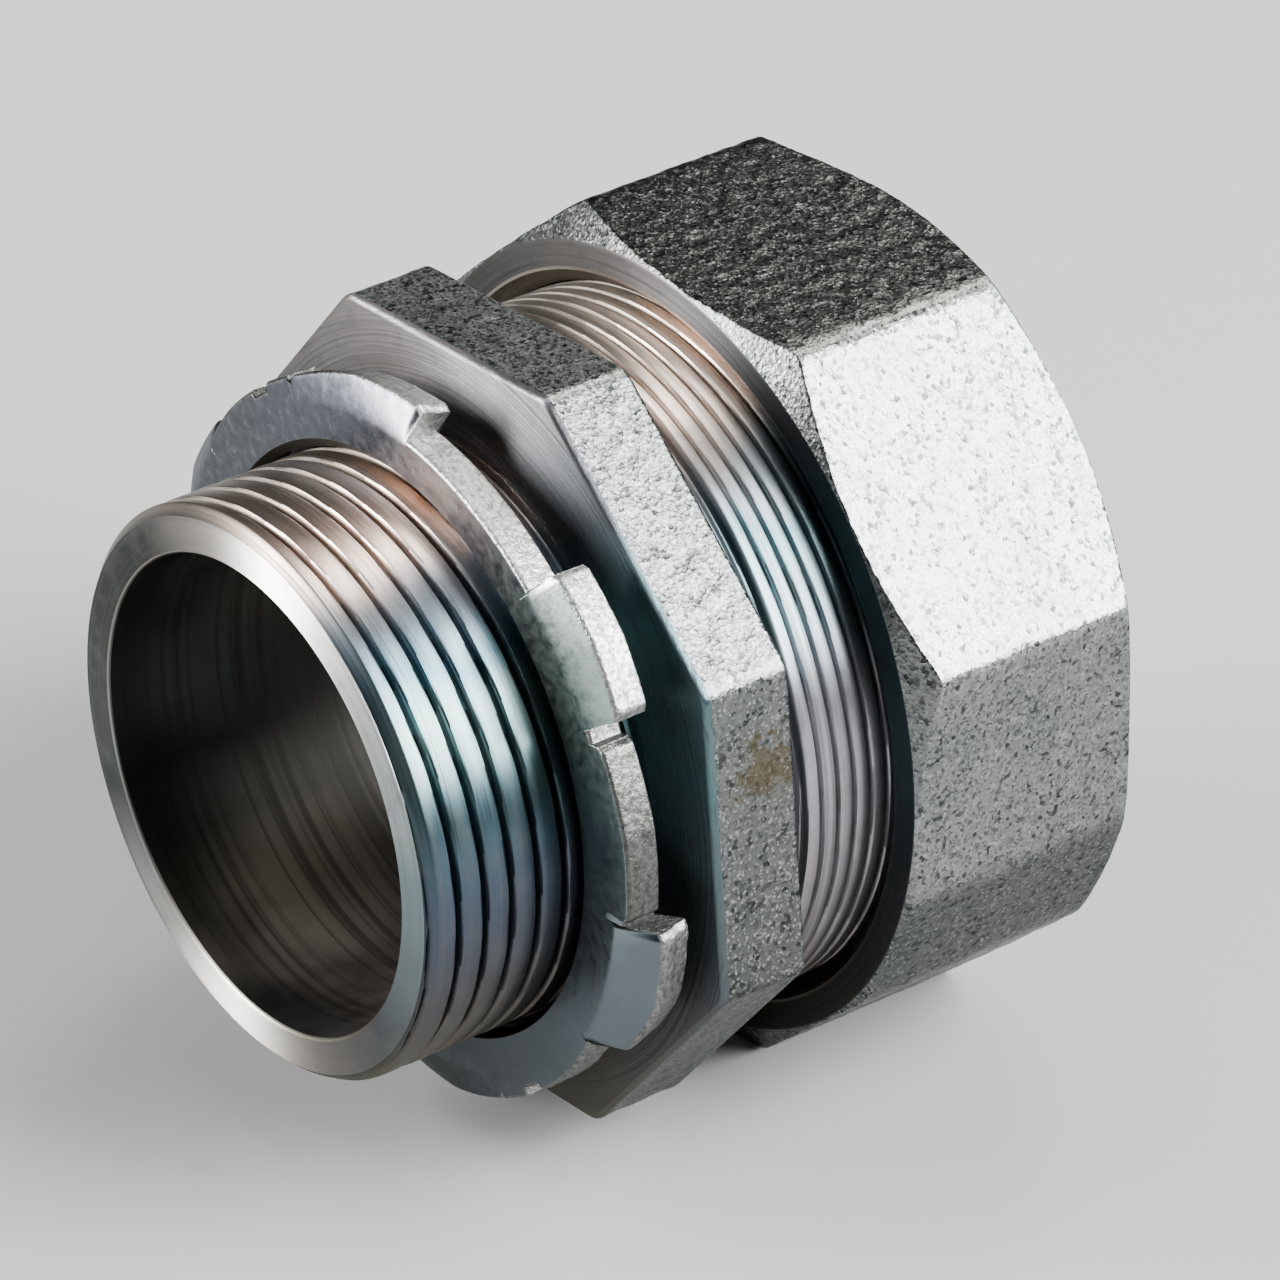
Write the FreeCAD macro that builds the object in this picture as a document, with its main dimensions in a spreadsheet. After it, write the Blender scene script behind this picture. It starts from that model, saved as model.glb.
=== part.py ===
"""Threadless compression connector for 1-1/4 in rigid metal conduit, four pieces.

Frame: +Y is the connector's axis, from the threaded nose (-Y) to the gland nut (+Y), and +Z is up.
The origin is on the axis, in the plane of the flange's front face, which seats on the box wall.
Radii are measured from the axis, and stations (names ending in _y) are places along it.
Turns about the axis are clock angles: 0 is up, 90 is +X.  All lengths are in millimetres.
"""
import FreeCAD, Part
import math
import os

import Sketcher

# ---------------------------------------------------------------- driving dimensions
OCTAGON = math.cos(math.radians(22.5))    # across flats over across corners, of an octagon

NOSE_THREAD = 42.0          # outer diameter of the straight nose thread
NOSE_PITCH = 25.4 / 11.5    # 11.5 threads per inch
NOSE_LENGTH = 18.5
REAR_THREAD = 51.7          # outer diameter of the gland nut's thread
REAR_PITCH = 25.4 / 18      # 18 threads per inch
THROAT = 35.1               # bore that the wires pass through
CONDUIT = 42.16             # outer diameter of the conduit
FLANGE_FLATS = 56.2
FLANGE_WIDTH = 7.1
NUT_FLATS = 59.0
NUT_LENGTH = 20.7
NUT_FRONT = 16.1            # the nut's front face, as it stands part way up its thread
TAPER = math.tan(math.radians(35))        # of the seat, the ring and the nut's inner end
BODY_END = 26.5
SEAT_MOUTH = 24.3           # radius of the tapered seat at the body's end
RING_TRAVEL = 2.5 * REAR_PITCH            # two and a half turns from here until the ring seats
RUN = 0.1                   # clearance of the running fits
LOCKNUT_FRONT = -6.4
LOCKNUT_THICK = 2.6
MOUTH_CHAMFER = 0.8
THROAT_CHAMFER = 0.2
END_CHAMFER = 0.7
REAR_CONE = 1.7             # slope of the gland nut's outside at its rear end, across over along
NUT_REAR_FACE = 28.14
LOCKNUT_CHAMFER = 0.7
LOCKNUT_RING = 25.0         # radius of the locknut between its lugs, where the bent ones bend
CLEAR = 1.0                 # how far a cutting outline stands clear of what it cuts

SOCKET = CONDUIT / 2 + 0.37
SEAT_START = BODY_END - (SEAT_MOUTH - SOCKET) / TAPER
RING_TIP = 22.1             # radius of the ring's two thin ends
RING_CROWN = 24.5           # its largest radius
RING_FRONT = BODY_END - (SEAT_MOUTH - RING_TIP) / TAPER + RING_TRAVEL + RUN
RING_SLOPE = (RING_CROWN - RING_TIP) / TAPER
RING_LAND = 0.8
RING_REAR = RING_FRONT + 2 * RING_SLOPE + RING_LAND
NUT_REAR = NUT_FRONT + NUT_LENGTH
NUT_OPENING = 21.75
NUT_CONE = RING_CROWN + RUN / 2
NUT_SHOULDER = RING_FRONT + RING_SLOPE + RING_LAND + RUN
NOSE_GROOVE = -NOSE_LENGTH + 1.9          # middle of the nose thread's first groove
NOSE_GROOVE_HALF = 0.9
REAR_GROOVE = FLANGE_WIDTH + 1.5          # middle of the rear thread's first groove
REAR_GROOVE_HALF = 0.6

SIZES = {
    # the connector body, outside
    "mouth_y": -NOSE_LENGTH,
    "nose_radius": NOSE_THREAD / 2,
    "mouth_radius": NOSE_THREAD / 2 - MOUTH_CHAMFER,
    "nose_start_y": -NOSE_LENGTH + MOUTH_CHAMFER,
    "flange_corner": FLANGE_FLATS / 2 / OCTAGON,
    "flange_front_y": 0.0,
    "flange_width": FLANGE_WIDTH,
    "flange_middle_y": FLANGE_WIDTH / 2,
    "flange_turn": 13.7,
    "rear_radius": REAR_THREAD / 2,
    "rear_end_radius": REAR_THREAD / 2 - END_CHAMFER,
    "rear_end_start_y": BODY_END - END_CHAMFER,
    "body_end_y": BODY_END,
    # its threads, as rings one pitch apart
    "nose_pitch": NOSE_PITCH,
    "nose_over": NOSE_THREAD / 2 + 0.3,
    "nose_root": NOSE_THREAD / 2 - 1.2,
    "nose_groove_front_y": NOSE_GROOVE - NOSE_GROOVE_HALF,
    "nose_groove_middle_y": NOSE_GROOVE,
    "nose_groove_rear_y": NOSE_GROOVE + NOSE_GROOVE_HALF,
    "nose_rings": 7,
    "rear_pitch": REAR_PITCH,
    "rear_over": REAR_THREAD / 2 + 0.2,
    "rear_root": REAR_THREAD / 2 - 0.75,
    "rear_groove_front_y": REAR_GROOVE - REAR_GROOVE_HALF,
    "rear_groove_middle_y": REAR_GROOVE,
    "rear_groove_rear_y": REAR_GROOVE + REAR_GROOVE_HALF,
    "rear_rings": 12,
    # the connector body, inside
    "centre": 0.0,
    "before_mouth_y": -NOSE_LENGTH - CLEAR,
    "after_end_y": BODY_END + CLEAR,
    "throat_radius": THROAT / 2,
    "throat_edge": THROAT / 2 + THROAT_CHAMFER,
    "throat_start_y": -NOSE_LENGTH + THROAT_CHAMFER,
    "stop_y": 3.0,
    "socket_radius": SOCKET,
    "seat_start_y": SEAT_START,
    "seat_mouth": SEAT_MOUTH,
    # the gland nut
    "nut_corner": NUT_FLATS / 2 / OCTAGON,
    "nut_front_y": NUT_FRONT,
    "nut_length": NUT_LENGTH,
    "nut_rear_y": NUT_REAR,
    "nut_turn": 22.5,
    "nut_face": 29.3,
    "nut_rear_face": NUT_REAR_FACE,
    "nut_corner_front_y": NUT_FRONT + 1.8,
    "nut_corner_rear_y": NUT_REAR - (NUT_FLATS / 2 / OCTAGON - NUT_REAR_FACE) / REAR_CONE,
    "nut_outside": NUT_FLATS / 2 / OCTAGON + CLEAR,
    "nut_before_y": NUT_FRONT - CLEAR,
    "nut_after_y": NUT_REAR + CLEAR,
    "nut_mouth": 27.1,
    "nut_bore_start_y": NUT_FRONT + 1.2,
    "nut_bore": REAR_THREAD / 2 + RUN,
    "nut_shoulder_y": NUT_SHOULDER,
    "nut_cone": NUT_CONE,
    "nut_cone_end_y": NUT_SHOULDER + (NUT_CONE - NUT_OPENING) / TAPER,
    "nut_opening": NUT_OPENING,
    "gate_turn": 112.5,
    "gate_flat": NUT_FLATS / 2,
    "gate_outside": NUT_FLATS / 2 + 5 * CLEAR,
    "gate_half": 12.0,
    "gate_half_back": -12.0,
    # the split ring
    "ring_inside": SOCKET + 0.05,
    "ring_tip": RING_TIP,
    "ring_crown": RING_CROWN,
    "ring_front_y": RING_FRONT,
    "ring_crown_front_y": RING_FRONT + RING_SLOPE,
    "ring_crown_rear_y": RING_FRONT + RING_SLOPE + RING_LAND,
    "ring_rear_y": RING_REAR,
    "ring_turn": 200.0,
    "split_inner": SOCKET - CLEAR,
    "split_outer": RING_CROWN + CLEAR,
    "split_half": 1.3,
    "split_half_back": -1.3,
    # the locknut
    "lock_bore": NOSE_THREAD / 2 + RUN,
    "lock_edge": NOSE_THREAD / 2 + RUN + LOCKNUT_CHAMFER,
    "lock_ring": LOCKNUT_RING,
    "lock_front_y": LOCKNUT_FRONT,
    "lock_edge_y": LOCKNUT_FRONT + LOCKNUT_CHAMFER,
    "lock_rear_y": LOCKNUT_FRONT + LOCKNUT_THICK,
    "lug_root": LOCKNUT_RING - 0.5,
    "lug_bend": LOCKNUT_RING,
}

# The locknut's lugs: name, clock angle where it starts, span, outer radius, how far its tip is bent back,
# and how many degrees its outer edge leans.  Each comes twice, half a turn apart.
LUGS = (
    ("broad", -31.0, 32.0, 27.0, 1.2, 15.0),
    ("leading", 35.5, 22.7, 28.2, 1.0, 3.0),
    ("plain", 60.8, 28.2, 26.9, 0.0, 0.0),
    ("trailing", 92.0, 25.5, 28.6, 2.2, 15.0),
    ("low", 117.5, 31.5, 26.0, 0.0, 0.0),
)
for lug, start, span, radius, back, lean_degrees in LUGS:
    lean = math.radians(lean_degrees)
    SIZES[lug + "_start"] = start
    SIZES[lug + "_span"] = span
    SIZES[lug + "_radius"] = radius
    SIZES[lug + "_front_y"] = LOCKNUT_FRONT + back
    SIZES[lug + "_rear_radius"] = radius - LOCKNUT_THICK * math.sin(lean)
    SIZES[lug + "_rear_y"] = LOCKNUT_FRONT + back + LOCKNUT_THICK * math.cos(lean)

# ---------------------------------------------------------------- document and helpers
doc = FreeCAD.newDocument("connector")
sheet = doc.addObject("Spreadsheet::Sheet", "Sizes")
for row, (name, value) in enumerate(SIZES.items(), start=1):
    sheet.set("A%d" % row, name)
    sheet.set("B%d" % row, repr(value))
    sheet.setAlias("B%d" % row, name)
doc.recompute()


def new_body(label):
    body = doc.addObject("PartDesign::Body", label)
    body.Label = label
    return body


def origin_part(body, role):
    return next(feature for feature in body.Origin.OriginFeatures if feature.Role == role)


def new_sketch(body, name, plane, turn_axis=None, turn=""):
    """A sketch on one of its body's origin planes, turned in place by the expression in turn."""
    sketch = body.newObject("Sketcher::SketchObject", name)
    sketch.AttachmentSupport = [(origin_part(body, plane), "")]
    sketch.MapMode = "FlatFace"
    if turn_axis is not None:
        sketch.AttachmentOffset = FreeCAD.Placement(FreeCAD.Vector(), FreeCAD.Rotation(turn_axis, 1))
        sketch.setExpression("AttachmentOffset.Rotation.Angle", turn)
    return sketch


def outline(sketch, corners):
    """A closed outline of straight edges.  Each corner is two names of sizes: across and along."""
    points = [FreeCAD.Vector(SIZES[across], SIZES[along], 0) for across, along in corners]
    for index, point in enumerate(points):
        sketch.addGeometry(Part.LineSegment(point, points[(index + 1) % len(points)]), False)
    for index in range(len(points)):
        sketch.addConstraint(Sketcher.Constraint("Coincident", index, 2, (index + 1) % len(points), 1))
    for index, corner in enumerate(corners):
        for kind, name in zip(("DistanceX", "DistanceY"), corner):
            number = sketch.addConstraint(Sketcher.Constraint(kind, -1, 1, index, 1, SIZES[name]))
            sketch.setExpression("Constraints[%d]" % number, "Sizes." + name)


def octagon(sketch, corner_radius):
    """A regular octagon with its corners on a construction circle, the first one on the x axis."""
    radius = SIZES[corner_radius]
    points = [
        FreeCAD.Vector(radius * math.cos(math.radians(45 * k)), radius * math.sin(math.radians(45 * k)), 0)
        for k in range(8)
    ]
    for index, point in enumerate(points):
        sketch.addGeometry(Part.LineSegment(point, points[(index + 1) % 8]), False)
    circle = sketch.addGeometry(Part.Circle(FreeCAD.Vector(), FreeCAD.Vector(0, 0, 1), radius), True)
    sketch.addConstraint(Sketcher.Constraint("Coincident", circle, 3, -1, 1))
    number = sketch.addConstraint(Sketcher.Constraint("Radius", circle, radius))
    sketch.setExpression("Constraints[%d]" % number, "Sizes." + corner_radius)
    for index in range(8):
        sketch.addConstraint(Sketcher.Constraint("Coincident", index, 2, (index + 1) % 8, 1))
        sketch.addConstraint(Sketcher.Constraint("PointOnObject", index, 1, circle))
    for index in range(1, 8):
        sketch.addConstraint(Sketcher.Constraint("Equal", 0, index))
    sketch.addConstraint(Sketcher.Constraint("PointOnObject", 0, 1, -1))


def turned(body, kind, name, corners):
    """A Revolution or Groove of an outline about the connector's axis."""
    sketch = new_sketch(body, name + "_outline", "XY_Plane")
    outline(sketch, corners)
    feature = body.newObject("PartDesign::" + kind, name)
    feature.Profile = sketch
    feature.ReferenceAxis = (sketch, ["V_Axis"])
    feature.Angle = 360
    return feature


def extruded(body, kind, name, sketch, **settings):
    feature = body.newObject("PartDesign::" + kind, name)
    feature.Profile = sketch
    for setting, value in settings.items():
        setattr(feature, setting, value)
    return feature


def repeated_along(body, name, feature, pitch, count):
    """Copies of a thread's ring, one pitch apart along the axis."""
    pattern = body.newObject("PartDesign::LinearPattern", name)
    pattern.Originals = [feature]
    pattern.Direction = (origin_part(body, "Y_Axis"), [""])
    pattern.Occurrences = SIZES[count]
    pattern.setExpression("Length", "Sizes.%s * (Sizes.%s - 1)" % (pitch, count))
    pattern.setExpression("Occurrences", "Sizes." + count)
    body.Tip = pattern
    return pattern


def must_cut(body, what):
    """Recompute, and stop if the body's last feature took nothing away."""
    before = must_cut.volume.get(body.Name)
    doc.recompute()
    volume = body.Shape.Volume
    if before is not None and what and not volume < before - 1:
        raise RuntimeError("%s cuts nothing from %s" % (what, body.Label))
    must_cut.volume[body.Name] = volume


must_cut.volume = {}
AXIS_Y = FreeCAD.Vector(0, 1, 0)
AXIS_Z = FreeCAD.Vector(0, 0, 1)

# ---------------------------------------------------------------- connector body
connector = new_body("connector_body")
flange_sketch = new_sketch(connector, "flange_octagon", "XZ_Plane", AXIS_Z, "-Sizes.flange_turn")
octagon(flange_sketch, "flange_corner")
flange = extruded(connector, "Pad", "flange", flange_sketch, Reversed=True)
flange.setExpression("Length", "Sizes.flange_width")
turned(connector, "Revolution", "barrel", [
    ("centre", "mouth_y"),
    ("mouth_radius", "mouth_y"),
    ("nose_radius", "nose_start_y"),
    ("nose_radius", "flange_middle_y"),
    ("rear_radius", "flange_middle_y"),
    ("rear_radius", "rear_end_start_y"),
    ("rear_end_radius", "body_end_y"),
    ("centre", "body_end_y"),
])
must_cut(connector, "")
nose_ring = turned(connector, "Groove", "nose_thread_ring", [
    ("nose_over", "nose_groove_front_y"),
    ("nose_root", "nose_groove_middle_y"),
    ("nose_over", "nose_groove_rear_y"),
])
must_cut(connector, "the nose thread's ring")
repeated_along(connector, "nose_thread", nose_ring, "nose_pitch", "nose_rings")
must_cut(connector, "the nose thread")
rear_ring = turned(connector, "Groove", "rear_thread_ring", [
    ("rear_over", "rear_groove_front_y"),
    ("rear_root", "rear_groove_middle_y"),
    ("rear_over", "rear_groove_rear_y"),
])
must_cut(connector, "the rear thread's ring")
repeated_along(connector, "rear_thread", rear_ring, "rear_pitch", "rear_rings")
must_cut(connector, "the rear thread")
turned(connector, "Groove", "passage", [
    ("centre", "before_mouth_y"),
    ("throat_edge", "before_mouth_y"),
    ("throat_edge", "mouth_y"),
    ("throat_radius", "throat_start_y"),
    ("throat_radius", "stop_y"),
    ("socket_radius", "stop_y"),
    ("socket_radius", "seat_start_y"),
    ("seat_mouth", "body_end_y"),
    ("seat_mouth", "after_end_y"),
    ("centre", "after_end_y"),
])
must_cut(connector, "the passage")

# ---------------------------------------------------------------- gland nut
nut = new_body("compression_nut")
nut_sketch = new_sketch(nut, "nut_octagon", "XZ_Plane", AXIS_Z, "Sizes.nut_turn")
octagon(nut_sketch, "nut_corner")
nut_sketch.setExpression("AttachmentOffset.Base.z", "-Sizes.nut_front_y")
nut_block = extruded(nut, "Pad", "nut_block", nut_sketch, Reversed=True)
nut_block.setExpression("Length", "Sizes.nut_length")
must_cut(nut, "")
turned(nut, "Groove", "front_chamfer", [
    ("nut_face", "nut_front_y"),
    ("nut_corner", "nut_corner_front_y"),
    ("nut_outside", "nut_corner_front_y"),
    ("nut_outside", "nut_before_y"),
    ("nut_face", "nut_before_y"),
])
must_cut(nut, "the front chamfer")
turned(nut, "Groove", "rear_chamfer", [
    ("nut_rear_face", "nut_rear_y"),
    ("nut_corner", "nut_corner_rear_y"),
    ("nut_outside", "nut_corner_rear_y"),
    ("nut_outside", "nut_after_y"),
    ("nut_rear_face", "nut_after_y"),
])
must_cut(nut, "the rear chamfer")
turned(nut, "Groove", "nut_passage", [
    ("centre", "nut_before_y"),
    ("nut_mouth", "nut_before_y"),
    ("nut_mouth", "nut_front_y"),
    ("nut_bore", "nut_bore_start_y"),
    ("nut_bore", "nut_shoulder_y"),
    ("nut_cone", "nut_shoulder_y"),
    ("nut_opening", "nut_cone_end_y"),
    ("nut_opening", "nut_after_y"),
    ("centre", "nut_after_y"),
])
must_cut(nut, "the nut's passage")
# The corner where the casting's gate was ground away: a flat as deep as the other eight.
gate_sketch = new_sketch(nut, "gate_outline", "XZ_Plane", AXIS_Z, "90 - Sizes.gate_turn")
outline(gate_sketch, [
    ("gate_flat", "gate_half_back"),
    ("gate_outside", "gate_half_back"),
    ("gate_outside", "gate_half"),
    ("gate_flat", "gate_half"),
])
extruded(nut, "Pocket", "gate_cut", gate_sketch, Type="ThroughAll", SideType="Symmetric")
must_cut(nut, "the gate's flat")

# ---------------------------------------------------------------- split ring
ring = new_body("compression_ring")
turned(ring, "Revolution", "ring_section", [
    ("ring_inside", "ring_front_y"),
    ("ring_tip", "ring_front_y"),
    ("ring_crown", "ring_crown_front_y"),
    ("ring_crown", "ring_crown_rear_y"),
    ("ring_tip", "ring_rear_y"),
    ("ring_inside", "ring_rear_y"),
])
must_cut(ring, "")
split_sketch = new_sketch(ring, "split_outline", "XZ_Plane", AXIS_Z, "90 - Sizes.ring_turn")
outline(split_sketch, [
    ("split_inner", "split_half_back"),
    ("split_outer", "split_half_back"),
    ("split_outer", "split_half"),
    ("split_inner", "split_half"),
])
extruded(ring, "Pocket", "split", split_sketch, Type="ThroughAll", SideType="Symmetric")
must_cut(ring, "the split")

# ---------------------------------------------------------------- locknut
locknut = new_body("locknut")
turned(locknut, "Revolution", "lock_section", [
    ("lock_edge", "lock_front_y"),
    ("lock_ring", "lock_front_y"),
    ("lock_ring", "lock_rear_y"),
    ("lock_bore", "lock_rear_y"),
    ("lock_bore", "lock_edge_y"),
])
lugs = []
for lug, *_ in LUGS:
    lug_sketch = new_sketch(locknut, lug + "_outline", "XY_Plane", AXIS_Y, "Sizes.%s_start - 90" % lug)
    outline(lug_sketch, [
        ("lug_root", "lock_front_y"),
        ("lug_bend", "lock_front_y"),
        (lug + "_radius", lug + "_front_y"),
        (lug + "_rear_radius", lug + "_rear_y"),
        ("lug_root", "lock_rear_y"),
    ])
    feature = locknut.newObject("PartDesign::Revolution", lug + "_lug")
    feature.Profile = lug_sketch
    feature.ReferenceAxis = (lug_sketch, ["V_Axis"])
    feature.setExpression("Angle", "Sizes.%s_span" % lug)
    lugs.append(feature)
other_half = locknut.newObject("PartDesign::PolarPattern", "other_half")
other_half.Originals = lugs
other_half.Axis = (origin_part(locknut, "Y_Axis"), [""])
other_half.Angle = 360
other_half.Occurrences = 2
locknut.Tip = other_half
doc.recompute()

# ---------------------------------------------------------------- checks and export
pieces = (connector, locknut, ring, nut)
for item in doc.Objects:
    if "Invalid" in item.State or "Error" in item.State:
        raise RuntimeError("%s is left %s" % (item.Label, item.State))
os.makedirs("parts", exist_ok=True)
for piece in pieces:
    if piece.Shape.isNull() or not piece.Shape.isValid() or len(piece.Shape.Solids) != 1:
        raise RuntimeError("%s isn't one valid solid" % piece.Label)
for piece in pieces:
    box = piece.Shape.BoundBox
    print("%-18s %9.1f mm3  Y %7.2f to %6.2f  X %7.2f to %6.2f  Z %7.2f to %6.2f" % (
        piece.Label, piece.Shape.Volume, box.YMin, box.YMax, box.XMin, box.XMax, box.ZMin, box.ZMax))
    piece.Shape.exportStep("parts/%s.step" % piece.Label)
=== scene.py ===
"""Looks of the threadless conduit connector: zinc plated iron castings and a stamped steel locknut.

Lengths in this file are in millimetres and clock angles in degrees about +Y (0 is up, 90 is +X),
until a mesh is made of them, in metres.  Every piece but the split ring is a Skin: one closed sheet
of quads, made of rings of points round the axis, each joined to the next and the last to the first.
"""
import math

import bpy
import numpy as np
from mathutils import Matrix, Vector, noise

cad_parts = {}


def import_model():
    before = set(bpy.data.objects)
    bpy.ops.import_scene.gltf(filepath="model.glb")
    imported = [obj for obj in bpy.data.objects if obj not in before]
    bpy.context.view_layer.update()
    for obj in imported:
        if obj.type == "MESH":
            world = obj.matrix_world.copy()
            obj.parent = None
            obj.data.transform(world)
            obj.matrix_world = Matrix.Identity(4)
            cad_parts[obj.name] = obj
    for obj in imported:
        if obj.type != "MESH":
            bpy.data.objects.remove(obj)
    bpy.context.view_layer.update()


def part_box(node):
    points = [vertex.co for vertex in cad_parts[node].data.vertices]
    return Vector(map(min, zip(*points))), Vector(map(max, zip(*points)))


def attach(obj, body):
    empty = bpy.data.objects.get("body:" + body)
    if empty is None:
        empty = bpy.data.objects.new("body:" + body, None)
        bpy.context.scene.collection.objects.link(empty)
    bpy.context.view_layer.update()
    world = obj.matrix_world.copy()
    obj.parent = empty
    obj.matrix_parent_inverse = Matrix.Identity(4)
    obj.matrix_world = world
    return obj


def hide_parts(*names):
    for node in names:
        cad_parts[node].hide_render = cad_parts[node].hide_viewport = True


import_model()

MM = 0.001


def cad(node):
    """A node's lowest and highest corners, in millimetres."""
    low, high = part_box(node)
    return low / MM, high / MM


# ---------------------------------------------------------------- sizes, from the frame
BODY_LOW, BODY_HIGH = cad("connector_body")
NUT_LOW, NUT_HIGH = cad("compression_nut")
RING_LOW, RING_HIGH = cad("compression_ring")
MOUTH = BODY_LOW.y
BODY_END = BODY_HIGH.y
NUT_FRONT, NUT_REAR = NUT_LOW.y, NUT_HIGH.y
NUT_FLAT = NUT_HIGH.z
LOCK_FRONT = cad("locknut")[0].y
FLOOR = min(BODY_LOW.z, NUT_LOW.z)

# ---------------------------------------------------------------- sizes of each piece
# Those without a note are the radii, or the other sizes, that their names say.
NOSE = 21.0                 # crest of the nose thread
NOSE_PITCH = 25.4 / 11.5
NOSE_DEPTH = 0.7
NOSE_BEVEL = 0.8
REAR = 25.85                # crest of the rear thread
REAR_PITCH = 25.4 / 18
REAR_DEPTH = 0.42
REAR_BEVEL = 0.7
NECK = 25.0
THROAT = 17.55
THROAT_BEVEL = 0.2
SOCKET = 21.45
STOP = 3.0                  # station of the stop that the conduit butts against
TAPER = math.radians(35)    # the ring's tapers, and the seats they press on
SEAT = 24.3                 # the body's seat at its rear end
CLEARANCE = 0.1             # of a female thread's crests, over the male thread's
FEMALE_DEPTH = 0.5
EDGE = 0.35                 # rounding of the flange's edges

FLANGE_FLAT = 28.1
FLANGE_WIDTH = 7.1
FLANGE_TURN = 13.7          # clock angle of a corner
FLANGE_LUMPS = (0.07, 1.3)  # how high and how wide the lumps of its sand cast skin are

NUT_TURN = 22.5             # clock angle of a corner
NUT_LUMPS = (0.08, 1.1)     # as the flange's
GATE_TURN = 112.5           # the corner ground flat where the casting's gate was
NUT_MOUTH = 27.1            # outer edge of the nut's mouth bevel
MOUTH_BEVEL = 1.25          # depth of that bevel
NUT_FACE = 29.3             # outer edge of its front face, where the front cone starts
FRONT_CONE = 1.46           # slopes of the nut's outside at its ends, across over along
REAR_CONE = 1.7
NUT_REAR_FACE = 28.14
# The rear was turned off centre: clock angle, spread and amount of each place where its cone comes
# further forward.
OFF_CENTRE = ((84.0, 22.0, 1.1), (-NUT_TURN, 15.0, 1.5))
OPENING = 21.75             # the conduit's way into the nut
OPENING_EDGE = 22.6         # outer edge of its bevel
OPENING_BEVEL = 0.8         # depth of that bevel
NUT_SEAT = 4.0              # depth of the taper that presses on the ring

RING_BORE = 21.5
RING_TIP = 22.1             # outside at both ends
RING_CROWN = 24.5           # outside between the tapers
RING_TAPER = 3.43           # length of each taper
RING_EDGE = 0.12            # bevel of its edges
SPLIT_TURN = 200.0          # clock angle of the split
HALF_SPLIT = 3.1

LOCK_THICK = 2.6
LOCK_FRONT_HOLE = 21.9      # where the faces start, past the bevels of the threaded hole
LOCK_REAR_HOLE = 21.6
LUG = 26.4                  # a stretch of rim beyond this radius is a lug, with rounded corners

STAIN = (27.0, 4.6, 9.3)    # an old stain on the flange, and how far it reaches
STAIN_REACH = 3.9


# ---------------------------------------------------------------- building blocks
def ease(low, high, value):
    """0 up to low, 1 from high on, and a smooth step between them."""
    part = np.clip((value - low) / (high - low), 0, 1)
    return part * part * (3 - 2 * part)


def clocks(start, count):
    """Evenly spread clock angles for a whole turn."""
    return start + np.arange(count) * 360.0 / count


def rows(stations, clock):
    """Stations along the axis, a row each, repeated for every clock angle."""
    return np.asarray(stations)[:, None] * np.ones((1, len(clock)))


def points_round_axis(radius, clock, along):
    """The points at the given radii, clock angles and stations, one a row."""
    angle = np.radians(clock)
    return np.stack([radius * np.sin(angle), along, radius * np.cos(angle)], -1).reshape(-1, 3)


def polygon(clock, flat, normals, sharpness=150.0):
    """Radius of a polygon with slightly rounded corners, whose flats face the given clock angles."""
    total = np.zeros_like(clock)
    for normal in normals:
        total += np.clip(np.cos(np.radians(clock - normal)), 0, None) ** sharpness
    return flat * total ** (-1 / sharpness)


def octagon_normals(corner):
    """Clock angles that an octagon's flats face, from the clock angle of a corner."""
    return [corner + 22.5 + 45 * k for k in range(8)]


def thread(clock, along, pitch, depth, groove=0.32, dome=0.10):
    """How far below the crest a right hand thread is at each point.

    groove is the share of the pitch that a groove takes, dome how much the crests fall to their sides.
    """
    turn = (along / pitch - clock / 360.0) % 1.0
    from_groove = np.abs(turn - 0.5) * 2
    return depth * (1 - ease(0.0, groove, from_groove)) + dome * (1 - from_groove) ** 2


def lumps(height, size, seed, radius, clock, along):
    """Lumpy noise over a surface, for cast skins and torn edges, of about the given height each way."""
    radius, clock, along = np.broadcast_arrays(radius, clock, along)
    points = points_round_axis(radius, clock, along) / size
    shift = Vector((seed * 7.3, seed * 3.1, seed * 1.7))
    values = [noise.noise(Vector(point) + shift) for point in points]
    return height * np.array(values).reshape(radius.shape)


class Skin:
    """Rings of points, collected block by block, each with its finish."""

    def __init__(self, clock):
        self.clock = np.asarray(clock, float)
        self.radii, self.alongs, self.finishes = [], [], []

    def add(self, radius, along, finish):
        """radius and along: one value a ring, or one a point."""
        rings = max(len(radius), len(along))
        for values, blocks in ((radius, self.radii), (along, self.alongs)):
            values = values[:, None] if values.ndim == 1 else values
            blocks.append(np.broadcast_to(values, (rings, len(self.clock))))
        self.finishes += [finish] * rings

    def line(self, start, end, step, finish, skip=1):
        """A straight stretch of the section, from (radius, along) to (radius, along).

        step is about how far its rings are apart; skip=0 keeps the first, at the start itself.
        """
        count = max(2, int(math.dist(start, end) / step) + 1)
        radius, along = (np.linspace(low, high, count)[skip:] for low, high in zip(start, end))
        self.add(radius, along, finish)

    def build(self, name):
        radius, along = np.vstack(self.radii), np.vstack(self.alongs)
        return shell(name, radius, along, self.clock, [FINISHES[key] for key in self.finishes])


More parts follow.
